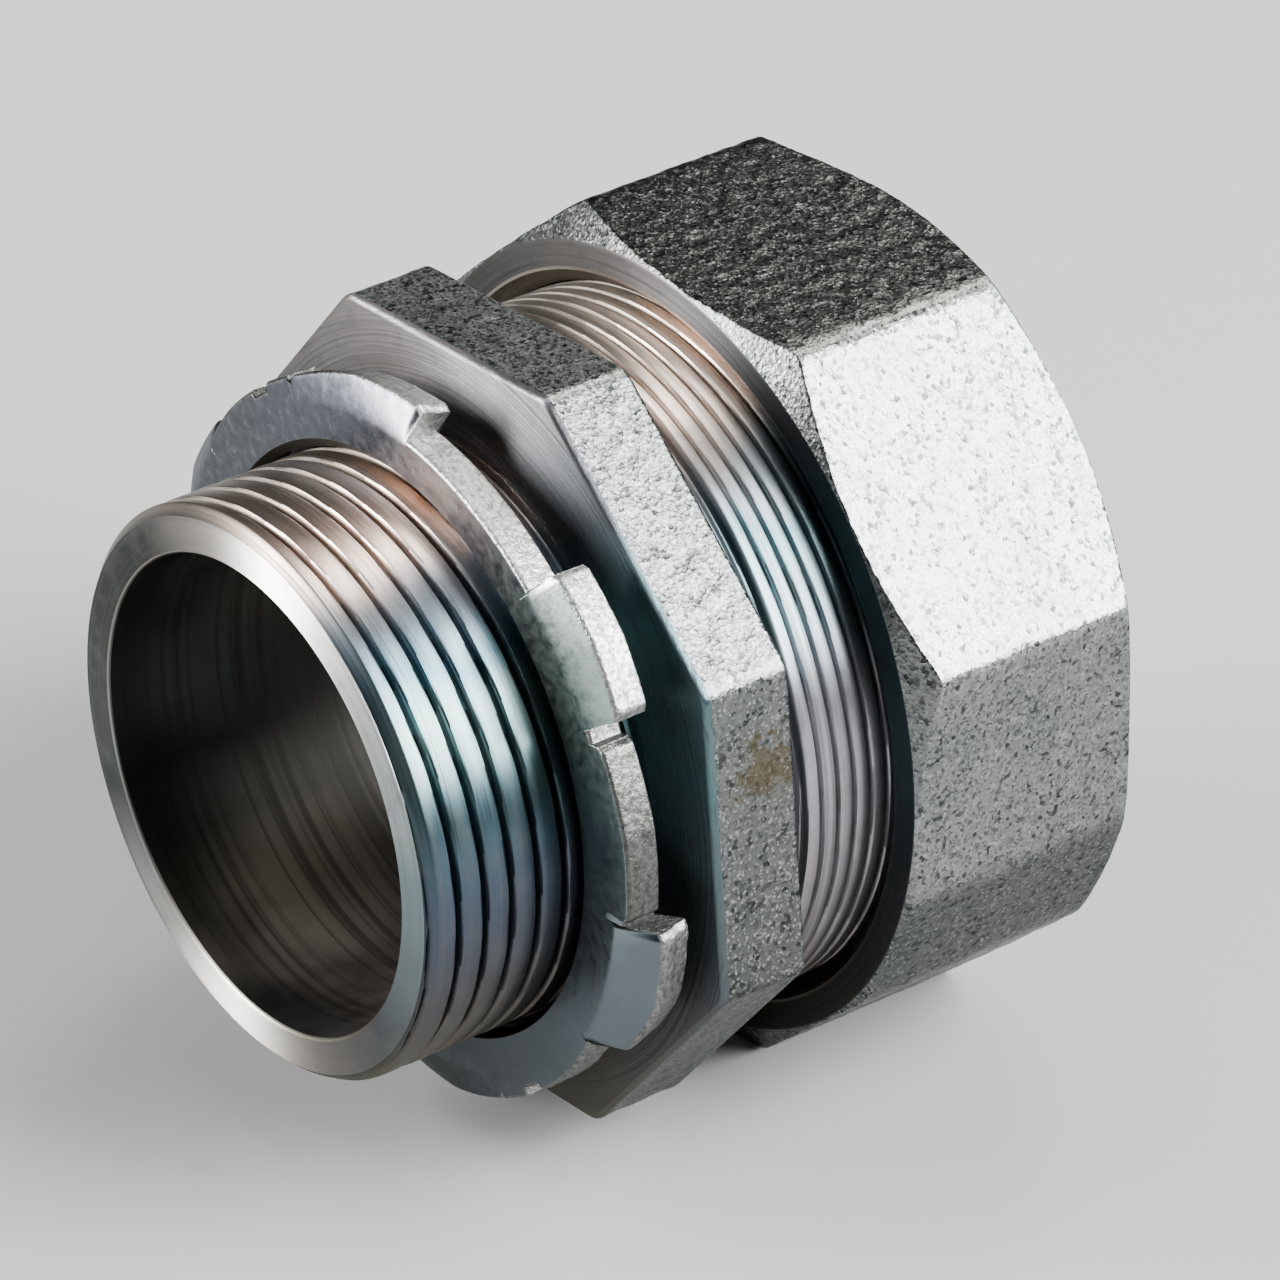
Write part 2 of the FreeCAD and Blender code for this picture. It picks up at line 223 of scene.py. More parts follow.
def shell(name, radius, along, clock, finish_of_ring):
    """A mesh object from rings of points.

    finish_of_ring is one material a ring, for the faces between it and the next.
    """
    rings, columns = radius.shape
    points = points_round_axis(radius, clock, along) * MM
    ring, column = np.meshgrid(np.arange(rings), np.arange(columns), indexing="ij")
    after, beside = (ring + 1) % rings, (column + 1) % columns
    quads = np.stack([
        ring * columns + column,
        ring * columns + beside,
        after * columns + beside,
        after * columns + column,
    ], -1).reshape(-1, 4)
    mesh = bpy.data.meshes.new(name)
    mesh.vertices.add(len(points))
    mesh.vertices.foreach_set("co", points.ravel())
    mesh.loops.add(quads.size)
    mesh.loops.foreach_set("vertex_index", quads.ravel().astype(np.int32))
    mesh.polygons.add(len(quads))
    mesh.polygons.foreach_set("loop_start", np.arange(0, quads.size, 4, dtype=np.int32))
    materials = list(dict.fromkeys(finish_of_ring))
    for material in materials:
        mesh.materials.append(material)
    numbers = np.repeat([materials.index(m) for m in finish_of_ring], columns).astype(np.int32)
    mesh.polygons.foreach_set("material_index", numbers)
    mesh.update(calc_edges=True)
    mesh.validate()
    mesh.shade_smooth()
    mesh.set_sharp_from_angle(angle=math.radians(38))
    return in_scene(name, mesh)


def in_scene(name, data):
    """An object that shows a mesh, a light or a camera."""
    item = bpy.data.objects.new(name, data)
    bpy.context.scene.collection.objects.link(item)
    return item


# ---------------------------------------------------------------- materials
EDGE_SHEEN = (0.55, 0.56, 0.56, 1)          # how strongly the dull plating reflects at a grazing angle


class Finish:
    """A procedural material, with short calls to add and join its nodes."""

    def __init__(self, name):
        self.material = bpy.data.materials.new(name)
        self.material.use_nodes = True
        self.nodes = self.material.node_tree.nodes
        self.links = self.material.node_tree.links
        self.shader = self.nodes["Principled BSDF"]
        coordinates = self.nodes.new("ShaderNodeTexCoord")
        self.millimetres = self.scale(coordinates.outputs["Object"], 1 / MM)

    def join(self, source, target):
        self.links.new(source, target)

    def scale(self, source, factor):
        node = self.nodes.new("ShaderNodeVectorMath")
        node.operation = "SCALE"
        self.join(source, node.inputs[0])
        node.inputs["Scale"].default_value = factor
        return node.outputs["Vector"]

    def math(self, operation, first, second=0.0):
        node = self.nodes.new("ShaderNodeMath")
        node.operation = operation
        for socket, value in zip(node.inputs, (first, second)):
            if isinstance(value, (int, float)):
                socket.default_value = value
            else:
                self.join(value, socket)
        return node.outputs[0]

    def noise(self, scale, detail, roughness, vector=None):
        node = self.nodes.new("ShaderNodeTexNoise")
        node.inputs["Scale"].default_value = scale
        node.inputs["Detail"].default_value = detail
        node.inputs["Roughness"].default_value = roughness
        self.join(vector or self.millimetres, node.inputs["Vector"])
        return node.outputs["Fac"]

    def grains(self, scale):
        """Packed grains: each point's distance from its grain's middle, and a random tone a grain."""
        node = self.nodes.new("ShaderNodeTexVoronoi")
        node.inputs["Scale"].default_value = scale
        self.join(self.millimetres, node.inputs["Vector"])
        parts = self.nodes.new("ShaderNodeSeparateColor")
        self.join(node.outputs["Color"], parts.inputs[0])
        return node.outputs["Distance"], parts.outputs[0]

    def ramp(self, source, stops):
        node = self.nodes.new("ShaderNodeValToRGB")
        elements = node.color_ramp.elements
        while len(elements) < len(stops):
            elements.new(0.5)
        for element, (place, colour) in zip(elements, stops):
            element.position = place
            element.color = (*colour, 1)
        self.join(source, node.inputs["Fac"])
        return node.outputs["Color"]

    def round_the_axis(self, source, stops):
        """A ramp over a whole turn, which ends on the colour it starts with."""
        return self.ramp(source, list(stops) + [(1.0, stops[0][1])])

    def remap(self, source, low, high, to_low, to_high):
        node = self.nodes.new("ShaderNodeMapRange")
        names = ("From Min", "From Max", "To Min", "To Max")
        for name, value in zip(names, (low, high, to_low, to_high)):
            node.inputs[name].default_value = value
        self.join(source, node.inputs["Value"])
        return node.outputs["Result"]

    def mix(self, factor, first, second, blend="MIX"):
        node = self.nodes.new("ShaderNodeMix")
        node.data_type = "RGBA"
        node.blend_type = blend
        for index, value in ((0, factor), (6, first), (7, second)):
            socket = node.inputs[index]
            if isinstance(value, (int, float)):
                socket.default_value = value
            elif isinstance(value, tuple):
                socket.default_value = (*value, 1)
            else:
                self.join(value, socket)
        return node.outputs[2]

    def place(self):
        """The X, Y and Z of each point of the object."""
        node = self.nodes.new("ShaderNodeSeparateXYZ")
        self.join(self.millimetres, node.inputs[0])
        return node.outputs["X"], node.outputs["Y"], node.outputs["Z"]

    def clock(self):
        """The clock angle about the connector's axis, as 0 to 1 of a turn, 0.5 being straight up."""
        across, _, upward = self.place()
        return self.remap(self.math("ARCTAN2", across, upward), -math.pi, math.pi, 0, 1)

    def radius(self):
        """Distance from the connector's axis."""
        across, _, upward = self.place()
        squares = [self.math("MULTIPLY", part, part) for part in (across, upward)]
        return self.math("SQRT", self.math("ADD", *squares))

    def turned_vector(self, stretch):
        """Radius and station only, so that a noise over it runs round the axis as turning marks do."""
        across, along, _ = self.place()
        joined = self.nodes.new("ShaderNodeCombineXYZ")
        self.join(self.radius(), joined.inputs["X"])
        self.join(along, joined.inputs["Y"])
        self.join(self.math("MULTIPLY", across, stretch), joined.inputs["Z"])
        return joined.outputs[0]

    def bump(self, height, distance, strength=1.0, under=None):
        node = self.nodes.new("ShaderNodeBump")
        node.inputs["Distance"].default_value = distance * MM
        node.inputs["Strength"].default_value = strength
        self.join(height, node.inputs["Height"])
        if under is not None:
            self.join(under, node.inputs["Normal"])
        return node.outputs["Normal"]

    def lathe_turned(self, amount):
        """Stretch the highlights across the turning marks, which run round the axis."""
        round_axis = self.nodes.new("ShaderNodeTangent")
        round_axis.direction_type = "RADIAL"
        round_axis.axis = "Y"
        self.join(round_axis.outputs[0], self.shader.inputs["Tangent"])
        self.shader.inputs["Anisotropic"].default_value = amount
        self.shader.inputs["Anisotropic Rotation"].default_value = 0.25

    def near(self, point, reach):
        """1 at a point of the object, falling to 0 at the given reach."""
        node = self.nodes.new("ShaderNodeVectorMath")
        node.operation = "DISTANCE"
        self.join(self.millimetres, node.inputs[0])
        node.inputs[1].default_value = point
        return self.remap(node.outputs["Value"], 0, reach, 1, 0)

    def finish(self, colour, roughness, normal=None, metallic=1.0):
        self.join(colour, self.shader.inputs["Base Color"])
        if isinstance(roughness, float):
            self.shader.inputs["Roughness"].default_value = roughness
        else:
            self.join(roughness, self.shader.inputs["Roughness"])
        if normal is not None:
            self.join(normal, self.shader.inputs["Normal"])
        self.shader.inputs["Metallic"].default_value = metallic
        self.shader.inputs["Specular Tint"].default_value = EDGE_SHEEN
        return self.material


# Painted light and shade on the flats of the castings: how light or dark each flat is painted, for how
# the light falls on it.
# Places are shares of a turn, 0.5 straight up.
NUT_PAINTED_LIGHT = (
    (0.00, 0.50), (0.30, 0.50), (0.42, 0.38), (0.552, 0.40),
    (0.561, 1.00), (0.776, 1.02), (0.788, 0.55),
)
FLANGE_PAINTED_LIGHT = (
    (0.00, 0.50), (0.35, 0.90), (0.42, 1.90), (0.530, 1.90),
    (0.545, 0.55), (0.660, 0.64), (0.785, 0.40),
)
PAINTED_LIGHT_RANGE = 2.0            # a ramp's colours stop at 1, so the painted light is divided by this and scaled back


def cast_plate(name, painted_light_by_flat):
    """Sand cast iron under zinc: grainy and sparkling, with dark grains, one old stain and painted light
    and shade on its flats.
    """
    look = Finish(name)
    patches = look.noise(0.10, 3.0, 0.6)
    colour = look.ramp(patches, [
        (0.3, (0.17, 0.185, 0.18)), (0.5, (0.22, 0.235, 0.228)), (0.7, (0.20, 0.205, 0.20)),
    ])
    greys = [(place, (tone / PAINTED_LIGHT_RANGE,) * 3) for place, tone in painted_light_by_flat]
    # painted light and shade: each flat painted lighter or darker for how the light falls on it
    painted_light = look.round_the_axis(look.clock(), greys)
    colour = look.scale(look.mix(1.0, colour, painted_light, "MULTIPLY"), PAINTED_LIGHT_RANGE)

    middle, tone = look.grains(2.7)
    fine_middle, fine_tone = look.grains(5.5)
    dark_grain = look.remap(tone, 0.0, 0.30, 0.92, 0.0)
    colour = look.mix(dark_grain, colour, (0.016, 0.019, 0.019))
    dark_speck = look.remap(fine_tone, 0.0, 0.35, 0.7, 0.0)
    colour = look.mix(dark_speck, colour, (0.06, 0.066, 0.066))
    bright_speck = look.remap(fine_tone, 0.80, 1.0, 0.0, 0.5)
    colour = look.mix(bright_speck, colour, (0.42, 0.43, 0.42))

    blotches = look.remap(look.noise(0.9, 3.0, 0.6), 0.42, 0.62, 0, 1)
    stain = look.math("MULTIPLY", look.near(STAIN, STAIN_REACH), blotches)
    colour = look.mix(look.remap(stain, 0.08, 0.35, 0, 0.7), colour, (0.075, 0.058, 0.03))

    roughness = look.remap(fine_tone, 0.0, 1.0, 0.25, 0.38)
    normal = look.bump(look.noise(2.6, 2.0, 0.55), 0.026)
    normal = look.bump(middle, 0.024, under=normal)
    normal = look.bump(fine_middle, 0.010, under=normal)
    return look.finish(colour, roughness, normal)


# Colour of the clear chromate round the axis, with painted highlights and painted shade laid into it for
# how the light falls.  Places are shares of a turn, 0.5 straight up.
# the nose's: a painted pink-white highlight near the top, painted shade near clock 42 degrees and a
# painted teal highlight near 51
CHROMATE_AND_PAINTED_LIGHT = (
    (0.00, (0.36, 0.33, 0.25)), (0.14, (0.40, 0.40, 0.38)), (0.25, (0.26, 0.28, 0.27)),
    (0.44, (0.50, 0.43, 0.36)), (0.505, (0.95, 0.72, 0.60)), (0.548, (0.95, 0.80, 0.72)),
    (0.566, (0.48, 0.49, 0.52)), (0.589, (0.25, 0.35, 0.41)), (0.618, (0.11, 0.21, 0.25)),
    (0.643, (0.23, 0.35, 0.35)), (0.667, (0.14, 0.24, 0.26)), (0.694, (0.10, 0.185, 0.22)),
    (0.739, (0.12, 0.155, 0.215)), (0.803, (0.155, 0.15, 0.155)), (0.87, (0.22, 0.19, 0.145)),
    (0.94, (0.30, 0.28, 0.19)),
)
# the rear thread's: a painted pale highlight near the top and painted dark teal shade near clock 40
# degrees
REAR_CHROMATE_AND_PAINTED_LIGHT = (
    (0.00, (0.36, 0.33, 0.28)), (0.25, (0.34, 0.35, 0.34)), (0.44, (0.80, 0.72, 0.62)),
    (0.505, (1.00, 0.84, 0.72)), (0.545, (1.00, 0.86, 0.76)), (0.58, (0.46, 0.50, 0.52)),
    (0.61, (0.16, 0.26, 0.29)), (0.645, (0.28, 0.37, 0.40)), (0.69, (0.62, 0.60, 0.66)),
    (0.74, (0.58, 0.55, 0.60)), (0.80, (0.46, 0.43, 0.46)), (0.87, (0.40, 0.36, 0.33)),
)
# the turned faces': painted lighter left of the top and in teal from clock 43 to 72 degrees, painted
# shade elsewhere
FACED_CHROMATE_AND_PAINTED_LIGHT = (
    (0.00, (0.30, 0.30, 0.26)), (0.25, (0.28, 0.30, 0.29)), (0.43, (0.66, 0.62, 0.60)),
    (0.49, (0.60, 0.57, 0.56)), (0.53, (0.34, 0.34, 0.36)), (0.585, (0.26, 0.29, 0.32)),
    (0.62, (0.36, 0.56, 0.60)), (0.70, (0.26, 0.44, 0.48)), (0.80, (0.22, 0.22, 0.24)),
    (0.90, (0.26, 0.24, 0.20)),
)
# the mouth's: a painted white highlight from clock 4 to 36 degrees, a painted lighter crescent from the
# bottom to clock -137 and painted shade between them
MOUTH_CHROMATE_AND_PAINTED_LIGHT = (
    (0.00, (0.38, 0.36, 0.33)), (0.12, (0.46, 0.46, 0.44)), (0.17, (0.10, 0.11, 0.105)),
    (0.38, (0.08, 0.085, 0.082)), (0.46, (0.40, 0.37, 0.34)), (0.51, (0.95, 0.92, 0.89)),
    (0.60, (1.00, 0.99, 0.97)), (0.63, (0.75, 0.80, 0.79)), (0.72, (0.22, 0.30, 0.31)),
    (0.84, (0.12, 0.13, 0.135)), (0.93, (0.24, 0.22, 0.20)),
)


def turned_plate(name, colours, shade, roughness, stretch, marks, groove=None):
    """Turned metal under clear chromate: fine rings, and colour that drifts round the axis.

    The colours carry painted light and shade round the axis as well as the chromate's tint, and shade
    dims them.  roughness is its least and most, stretch draws out the highlights and marks is the depth
    of the turning marks.  groove is the radius of a thread's root, the radius from which its crests are
    clean, and how dark the root is painted, partly for grime and partly as painted shade.
    """
    look = Finish(name)
    drift = look.remap(look.noise(0.12, 2.0, 0.5), 0.3, 0.7, -0.012, 0.012)
    around = look.math("ADD", look.clock(), drift)
    dimmed = [(place, tuple(part * shade for part in colour)) for place, colour in colours]
    colour = look.round_the_axis(around, dimmed)
    rings = look.noise(3.2, 4.0, 0.65, look.turned_vector(0.01))
    smudge = look.remap(look.noise(0.5, 4.0, 0.6), 0.50, 0.72, 0, 0.35)
    colour = look.mix(smudge, colour, (0.24 * shade, 0.25 * shade, 0.24 * shade))
    dull_rings = look.remap(rings, 0.52, 0.66, 0, 0.5)
    colour = look.mix(dull_rings, colour, (0.20 * shade, 0.19 * shade, 0.19 * shade))
    if groove is not None:
        root, clean, dirt_and_shade = groove
        # thread roots painted near black: partly grime, partly painted shade in the groove
        dirt_and_painted_shade = look.remap(look.radius(), root, clean, dirt_and_shade, 0.0)
        colour = look.mix(dirt_and_painted_shade, colour, (0.02, 0.024, 0.026))
    look.lathe_turned(stretch)
    return look.finish(colour, look.remap(rings, 0.3, 0.7, *roughness), look.bump(rings, marks))


def bore_metal():
    """Inside of the bores: dull, with tool rings that show most along the bottom, painted lighter from
    clock
    -164 to -149 degrees, a painted shadow near the mouth and painted shade deeper in.
    """
    look = Finish("bore_metal")
    # painted light and shade round the bore: lighter from clock -164 to -149 degrees, darker elsewhere
    colour = look.round_the_axis(look.clock(), (
        (0.00, (0.24, 0.21, 0.19)), (0.045, (0.75, 0.66, 0.58)), (0.085, (0.62, 0.56, 0.48)),
        (0.13, (0.16, 0.15, 0.135)), (0.18, (0.045, 0.05, 0.045)), (0.22, (0.14, 0.16, 0.15)),
        (0.40, (0.10, 0.11, 0.10)), (0.78, (0.16, 0.15, 0.14)), (0.94, (0.16, 0.14, 0.13)),
    ))
    _, along, _ = look.place()
    # painted shadow just inside the mouth, and painted shade deeper in
    painted_shadow_near_mouth = look.remap(along, MOUTH + 2.0, MOUTH + 5.5, 0.75, 0.0)
    painted_shade_deep_inside = look.remap(along, MOUTH + 9.0, MOUTH + 17.0, 0.0, 0.85)
    colour = look.mix(look.math("MAXIMUM", painted_shadow_near_mouth, painted_shade_deep_inside), colour, (0.05, 0.05, 0.045))
    rings = look.noise(1.5, 3.0, 0.6, look.turned_vector(0.006))
    colour = look.mix(look.remap(rings, 0.48, 0.62, 0, 0.6), colour, (0.06, 0.055, 0.05))
    roughness = look.remap(look.noise(0.16, 3.0, 0.6), 0.3, 0.7, 0.36, 0.52)
    return look.finish(colour, roughness, look.bump(rings, 0.02))


def stamped_steel():
    """Rolled and stamped locknut faces: smooth, blue grey, faintly wiped, with painted light round the
    axis.
    """
    look = Finish("stamped_steel")
    drift = look.remap(look.noise(0.14, 2.0, 0.5), 0.3, 0.7, -0.03, 0.03)
    # painted light round the axis: lighter from clock 18 to 90 degrees, lightest near 65, dark elsewhere
    colour = look.round_the_axis(look.math("ADD", look.clock(), drift), (
        (0.00, (0.09, 0.10, 0.10)), (0.35, (0.08, 0.085, 0.095)), (0.47, (0.085, 0.09, 0.105)),
        (0.55, (0.20, 0.19, 0.20)), (0.61, (0.28, 0.34, 0.32)), (0.68, (0.34, 0.44, 0.41)),
        (0.76, (0.12, 0.145, 0.165)), (0.95, (0.08, 0.09, 0.095)),
    ))
    wipe = look.noise(1.1, 4.0, 0.62)
    colour = look.mix(look.remap(wipe, 0.55, 0.75, 0, 0.45), colour, (0.15, 0.155, 0.155))
    roughness = look.remap(wipe, 0.3, 0.7, 0.26, 0.44)
    return look.finish(colour, roughness, look.bump(wipe, 0.06, 0.5))


def sheared_edge():
    """Sheared edges of the stamping: slightly torn, with painted light round the axis, lightest from the
    top round to the upper right.
    """
    look = Finish("sheared_edge")
    torn = look.noise(2.2, 4.0, 0.6)
    colour = look.ramp(torn, (
        (0.34, (0.18, 0.19, 0.18)), (0.52, (0.38, 0.39, 0.38)), (0.66, (0.50, 0.50, 0.49)),
    ))
    # painted light round the axis: lightest from clock -7 to 54 degrees, darker elsewhere
    edge_painted_light = look.round_the_axis(look.clock(), (
        (0.00, (0.40, 0.40, 0.40)), (0.30, (0.15, 0.15, 0.15)), (0.44, (0.15, 0.15, 0.15)),
        (0.48, (0.90, 0.90, 0.90)), (0.65, (1.00, 1.00, 1.00)), (0.675, (0.30, 0.30, 0.29)),
        (0.75, (0.24, 0.24, 0.235)), (0.757, (0.50, 0.50, 0.50)), (0.82, (0.40, 0.40, 0.40)),
    ))
    colour = look.mix(1.0, colour, edge_painted_light, "MULTIPLY")
    roughness = look.remap(torn, 0.3, 0.7, 0.46, 0.30)
    return look.finish(colour, roughness, look.bump(torn, 0.16, 0.8), 0.97)


FINISHES = {
    "cast": cast_plate("cast_plate", NUT_PAINTED_LIGHT),
    "flange_cast": cast_plate("flange_cast_plate", FLANGE_PAINTED_LIGHT),
    "turned": turned_plate(
        "turned_plate", CHROMATE_AND_PAINTED_LIGHT, shade=0.50, roughness=(0.26, 0.38), stretch=0.3, marks=0.02,
        groove=(NOSE - 0.65, NOSE - 0.33, 0.5),
    ),
    "rear_turned": turned_plate(
        "rear_plate", REAR_CHROMATE_AND_PAINTED_LIGHT, shade=0.54, roughness=(0.30, 0.42), stretch=0.5, marks=0.02,
        groove=(REAR - REAR_DEPTH, REAR - 0.2, 0.4),
    ),
    "faced": turned_plate(
        "faced_plate", FACED_CHROMATE_AND_PAINTED_LIGHT, shade=0.38, roughness=(0.34, 0.46), stretch=0.8, marks=0.08,
    ),
    "nut_faced": turned_plate(
        "nut_face_plate", FACED_CHROMATE_AND_PAINTED_LIGHT, shade=0.16, roughness=(0.34, 0.46), stretch=0.8, marks=0.06,
    ),
    "mouth": turned_plate(
        "mouth_plate", MOUTH_CHROMATE_AND_PAINTED_LIGHT, shade=0.90, roughness=(0.42, 0.52), stretch=0.95, marks=0.02,
    ),
    # a lighter copy of the turned finish for the bevels: a painted highlight
    "painted_light": turned_plate(
        "bevel_painted_highlight", CHROMATE_AND_PAINTED_LIGHT, shade=0.8, roughness=(0.30, 0.44), stretch=0.6, marks=0.02,
    ),
    "bore": bore_metal(),
    "stamped": stamped_steel(),
    "edge": sheared_edge(),
}


# ---------------------------------------------------------------- connector body
def connector_body():
    clock = clocks(FLANGE_TURN, 480)
    skin = Skin(clock)
    outline = polygon(clock, FLANGE_FLAT, octagon_normals(FLANGE_TURN))
    inner_outline = outline - EDGE
    short = 0.05            # how far short of the faces a thread's first and last rings are

    # the mouth: flat annulus between the throat's bevel and the thread's bevel
    skin.line((THROAT + THROAT_BEVEL, MOUTH), (NOSE - NOSE_BEVEL, MOUTH), 0.3, "mouth", skip=0)

    # the nose thread, cut through by the bevel at the mouth, running out before the flange
    along = rows(np.arange(MOUTH + short, -short, 0.09), clock)
    cut = thread(clock, along, NOSE_PITCH, NOSE_DEPTH)
    cut *= 1 - ease(-1.6, -0.4, along)
    bevel = NOSE - NOSE_BEVEL + (along - MOUTH)
    skin.add(np.minimum(NOSE - cut, bevel), along, "turned")

    # the flange: faces turned, flats as cast, both edges rounded
    share = np.linspace(0.02, 1, 26)[:, None]
    skin.add(NOSE + share * (inner_outline - NOSE), np.zeros_like(share), "faced")
    corner = np.radians(np.linspace(0, 90, 5))[:, None]
    skin.add(inner_outline + EDGE * np.sin(corner), EDGE - EDGE * np.cos(corner), "faced")
    along = rows(np.linspace(EDGE, FLANGE_WIDTH - EDGE, 30)[1:-1], clock)
    inland = ease(0, 1.2, np.minimum(along, FLANGE_WIDTH - along) - EDGE)
    high, wide = FLANGE_LUMPS
    rough = lumps(high, wide, 1, outline, clock, along) - high / 2
    skin.add(outline + inland * rough, along, "flange_cast")
    rounded = FLANGE_WIDTH - EDGE + EDGE * np.sin(corner)
    skin.add(inner_outline + EDGE * np.cos(corner), rounded, "flange_cast")
    share = np.linspace(1, 0, 14)[1:, None]
    skin.add(NECK + share * (inner_outline - NECK), np.full_like(share, FLANGE_WIDTH), "turned")

    # the neck and the rear thread, with a bevel at its end
    along = rows(np.arange(FLANGE_WIDTH + 0.1, BODY_END - short, 0.075), clock)
    cut = thread(clock, along, REAR_PITCH, REAR_DEPTH)
    rise = ease(FLANGE_WIDTH + 1.8, FLANGE_WIDTH + 2.7, along)
    bevel = REAR - REAR_BEVEL + (BODY_END - along)
    skin.add(np.minimum(NECK + rise * (REAR - cut - NECK), bevel), along, "rear_turned")

    # inside: tapered seat, conduit socket, stop, throat
    seat = (SEAT, BODY_END)
    seat_end = (SOCKET, BODY_END - (SEAT - SOCKET) / math.tan(TAPER))
    skin.line((REAR - REAR_BEVEL - 0.1, BODY_END), seat, 0.3, "turned", skip=0)
    skin.line(seat, seat_end, 0.4, "turned")
    skin.line(seat_end, (SOCKET, STOP), 0.7, "bore")
    skin.line((SOCKET, STOP), (THROAT, STOP), 0.5, "bore")
    skin.line((THROAT, STOP), (THROAT, MOUTH + THROAT_BEVEL), 0.5, "bore")
    # the throat's bevel: painted highlight
    skin.line((THROAT, MOUTH + THROAT_BEVEL), (THROAT + 0.15, MOUTH + 0.02), 0.1, "painted_light")
    body = skin.build("plated_body")
    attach(body, "connector")
    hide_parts("connector_body")


# ---------------------------------------------------------------- gland nut
def gland_nut():
    clock = clocks(NUT_TURN, 640)
    skin = Skin(clock)
    outline = polygon(clock, NUT_FLAT, octagon_normals(NUT_TURN) + [GATE_TURN])
    crest = REAR + CLEARANCE
    root = crest + FEMALE_DEPTH

    # mouth bevel and turned face
    skin.line((crest, NUT_FRONT + MOUTH_BEVEL), (NUT_MOUTH, NUT_FRONT), 0.15, "turned", skip=0)
    skin.line((NUT_MOUTH, NUT_FRONT), (NUT_FACE, NUT_FRONT), 0.2, "nut_faced")

    # outside: front cone, cast flats, off centre rear cone, with the rings closer where the cones are
    length = NUT_REAR - NUT_FRONT
    along = rows(NUT_FRONT + np.concatenate([
        np.linspace(0.02, 2.2, 30),
        np.linspace(2.3, length - 2.8, 100),
        np.linspace(length - 2.7, length - 0.02, 30),
    ]), clock)
    high, wide = NUT_LUMPS
    flats = outline + lumps(high, wide, 2, outline, clock, along) - high / 2
    front = NUT_FACE + (along - NUT_FRONT) * FRONT_CONE
    forward = np.zeros_like(clock)
    for middle, spread, amount in OFF_CENTRE:
        away = (clock - middle + 180) % 360 - 180
        forward += amount * np.exp(-(away / spread) ** 2)
    rear = NUT_REAR_FACE + (NUT_REAR - forward - along) * REAR_CONE
    skin.add(np.minimum(np.minimum(flats, front), rear), along, "cast")

    # rear face
    share = np.linspace(1, 0, 16)[:, None]
    rear_edge = NUT_REAR_FACE - forward * REAR_CONE
    face = OPENING_EDGE + share * (rear_edge - OPENING_EDGE)
    skin.add(face, np.full_like(share, NUT_REAR), "faced")

    # inside: the conduit's opening, the taper behind the ring, the thread
    shoulder = RING_HIGH.y - RING_TAPER + CLEARANCE
    crown = RING_CROWN + CLEARANCE / 2
    taper_end = (OPENING, shoulder + NUT_SEAT)
    bevel_end = (OPENING, NUT_REAR - OPENING_BEVEL)
    # the opening's bevel: painted highlight
    skin.line((OPENING_EDGE, NUT_REAR), bevel_end, 0.3, "painted_light")
    skin.line(bevel_end, taper_end, 0.4, "bore")
    skin.line(taper_end, (crown, shoulder), 0.4, "turned")
    skin.line((crown, shoulder), (root, shoulder), 0.4, "bore")
    along = rows(np.arange(shoulder - 0.1, NUT_FRONT + MOUTH_BEVEL + 0.05, -0.12), clock)
    cut = thread(clock, along, REAR_PITCH, REAR_DEPTH * 0.8)
    skin.add(root - np.minimum(cut, FEMALE_DEPTH), along, "turned")
    nut = skin.build("gland_nut_shell")
    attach(nut, "gland_nut")
    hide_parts("compression_nut")


# ---------------------------------------------------------------- split ring
def split_ring():
    columns = 300
    clock = SPLIT_TURN + HALF_SPLIT + np.linspace(0, 360 - 2 * HALF_SPLIT, columns)
    low, high = RING_LOW.y, RING_HIGH.y
    section = (
        (RING_BORE, low), (RING_TIP, low), (RING_CROWN, low + RING_TAPER),
        (RING_CROWN, high - RING_TAPER), (RING_TIP, high), (RING_BORE, high),
    )
    points, faces = [], []
    for angle in np.radians(clock):
        for radius, along in section:
            points.append(Vector((radius * math.sin(angle), along, radius * math.cos(angle))) * MM)
    count = len(section)
    for column in range(columns - 1):
        here, there = column * count, (column + 1) * count
        for corner in range(count):
            after = (corner + 1) % count
            faces.append((here + corner, there + corner, there + after, here + after))
    faces.append(tuple(range(count)))
    faces.append(tuple((columns - 1) * count + corner for corner in reversed(range(count))))
    mesh = bpy.data.meshes.new("split_ring")
    mesh.from_pydata(points, [], faces)
    mesh.materials.append(FINISHES["turned"])
    mesh.shade_smooth()
    sharp = math.radians(20)
    mesh.set_sharp_from_angle(angle=sharp)
    ring = in_scene("split_ring", mesh)
    bevel = ring.modifiers.new("edges", "BEVEL")
    bevel.width = RING_EDGE * MM
    bevel.segments = 2
    bevel.limit_method = "ANGLE"
    bevel.angle_limit = sharp
    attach(ring, "ring")
    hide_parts("compression_ring")


